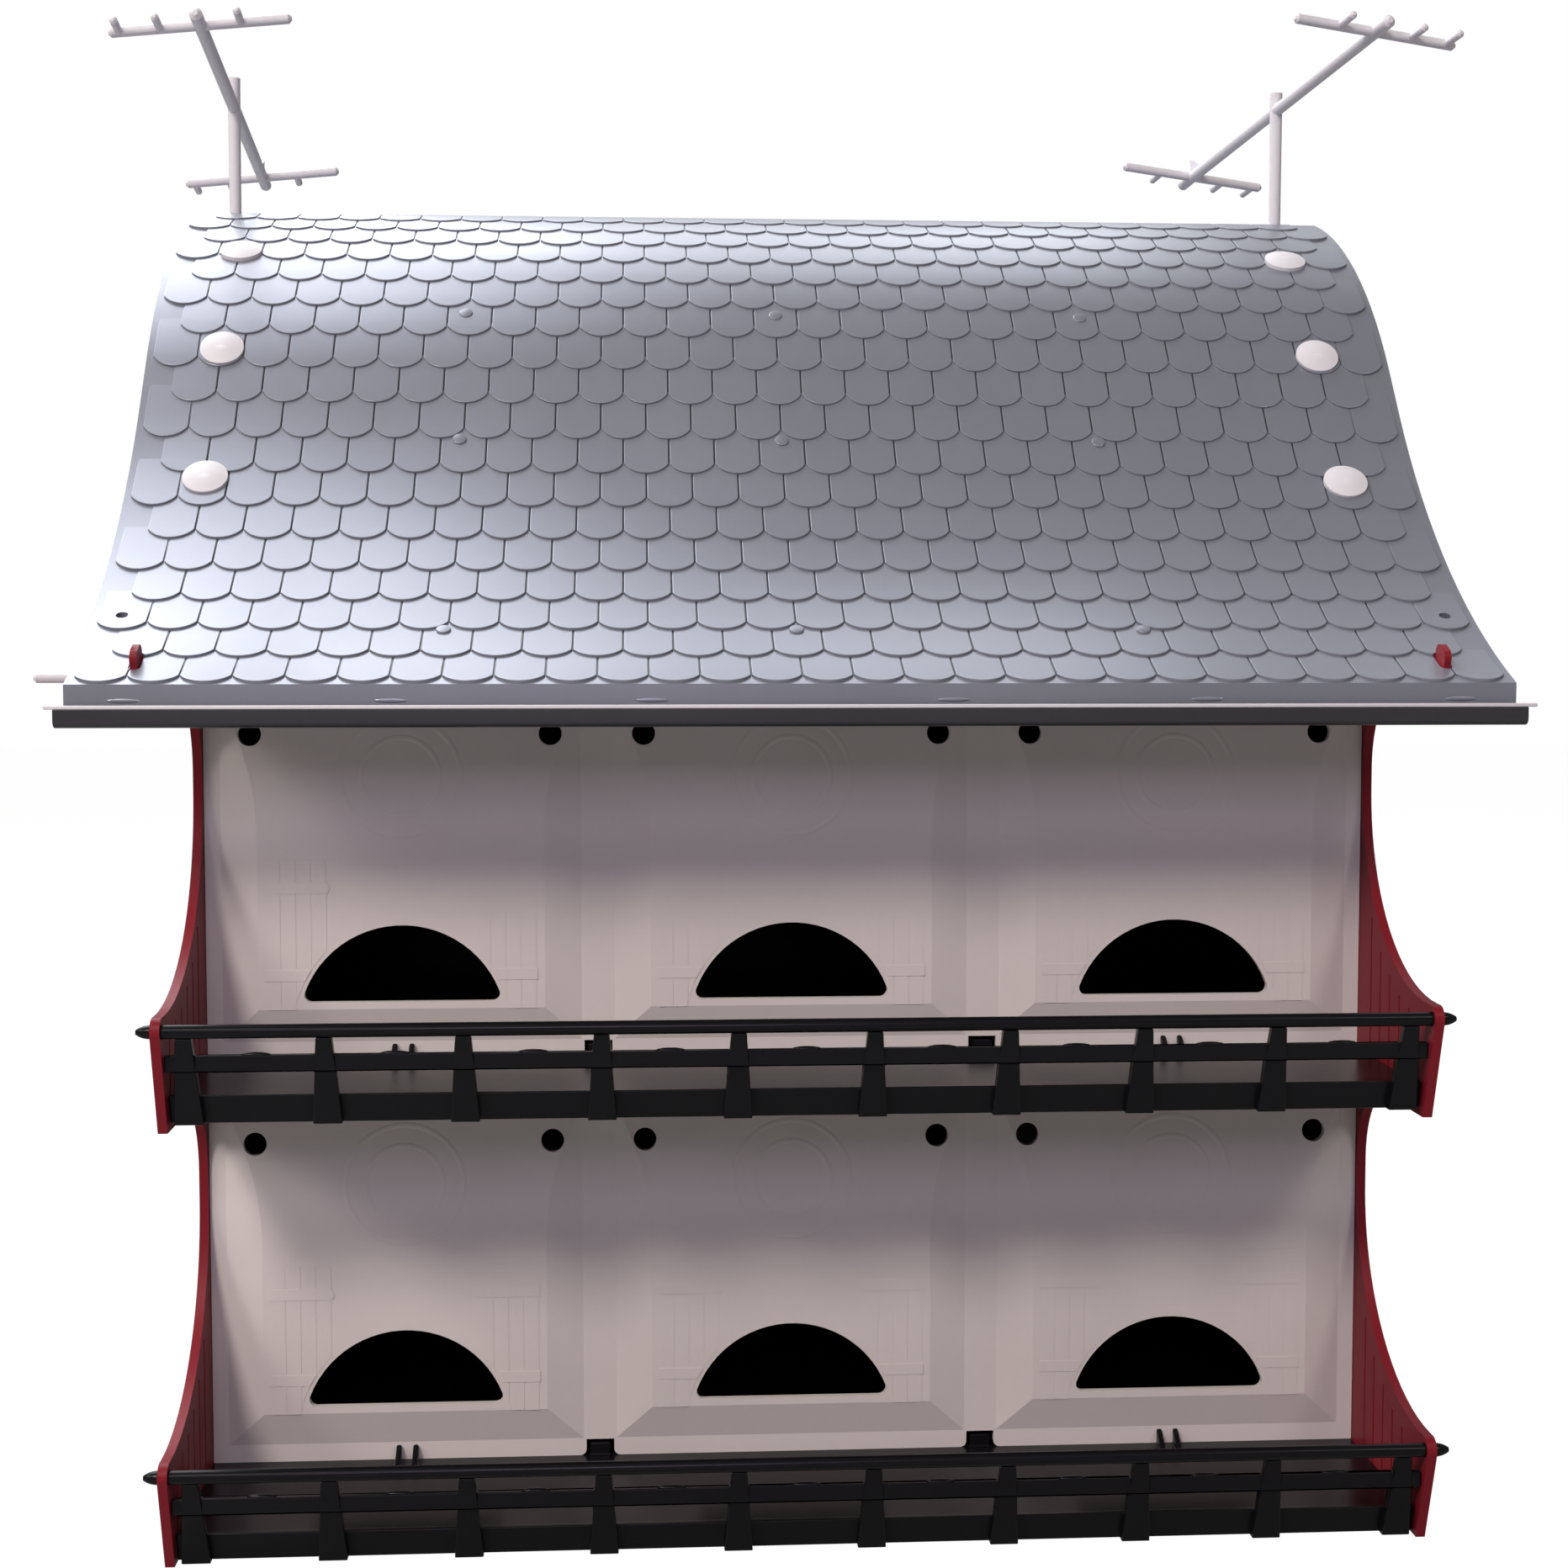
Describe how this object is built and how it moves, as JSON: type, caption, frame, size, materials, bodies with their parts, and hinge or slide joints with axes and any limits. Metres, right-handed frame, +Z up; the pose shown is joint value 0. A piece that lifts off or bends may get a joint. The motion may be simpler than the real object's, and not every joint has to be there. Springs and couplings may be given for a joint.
{
  "type": "purple martin birdhouse",
  "caption": "Barn-style purple martin house of moulded plastic with red end walls, white fronts, black porches, a curved shingled roof and aerial-shaped perches.",
  "frame": {"origin": "centre of the footprint, at the level of the end walls' lower edges", "axes": "+X along the ridge, -Y out of the front porches, +Z up"},
  "size_m": [0.6882, 0.6002, 0.6064],
  "materials": {
    "white_panel": "satin",
    "barn_red": "satin",
    "black_porch": "glossy",
    "roof_grey": "satin",
    "gutter_grey": "satin",
    "white_trim": "satin"
  },
  "bodies": {
    "root": {"aerial_perch_left": "white_trim", "aerial_perch_right": "white_trim", "attic_floor": "white_panel", "back_porch_deck_lower": "black_porch", "back_porch_deck_upper": "black_porch", "back_porch_rail_lower": "black_porch", "back_porch_rail_upper": "black_porch", "back_porch_railing_lower": "black_porch", "back_porch_railing_upper": "black_porch", "back_wall_panel_lower": "white_panel", "back_wall_panel_upper": "white_panel", "centre_wall_lower": "black_porch", "centre_wall_upper": "black_porch", "front_porch_deck_lower": "black_porch", "front_porch_deck_upper": "black_porch", "front_porch_rail_lower": "black_porch", "front_porch_rail_upper": "black_porch", "front_porch_railing_lower": "black_porch", "front_porch_railing_upper": "black_porch", "front_wall_panel_lower": "white_panel", "front_wall_panel_upper": "white_panel", "ground_floor": "black_porch", "gutter_back": "gutter_grey", "gutter_front": "gutter_grey", "left_end_wall": "barn_red", "right_end_wall": "barn_red", "roof_back": "roof_grey", "roof_caps_back": "white_trim", "roof_caps_front": "white_trim", "roof_front": "roof_grey", "room_dividers_lower": "black_porch", "room_dividers_upper": "black_porch", "side_perch_left": "white_trim", "side_perch_right": "white_trim", "upper_floor": "black_porch"}
  },
  "joints": []
}
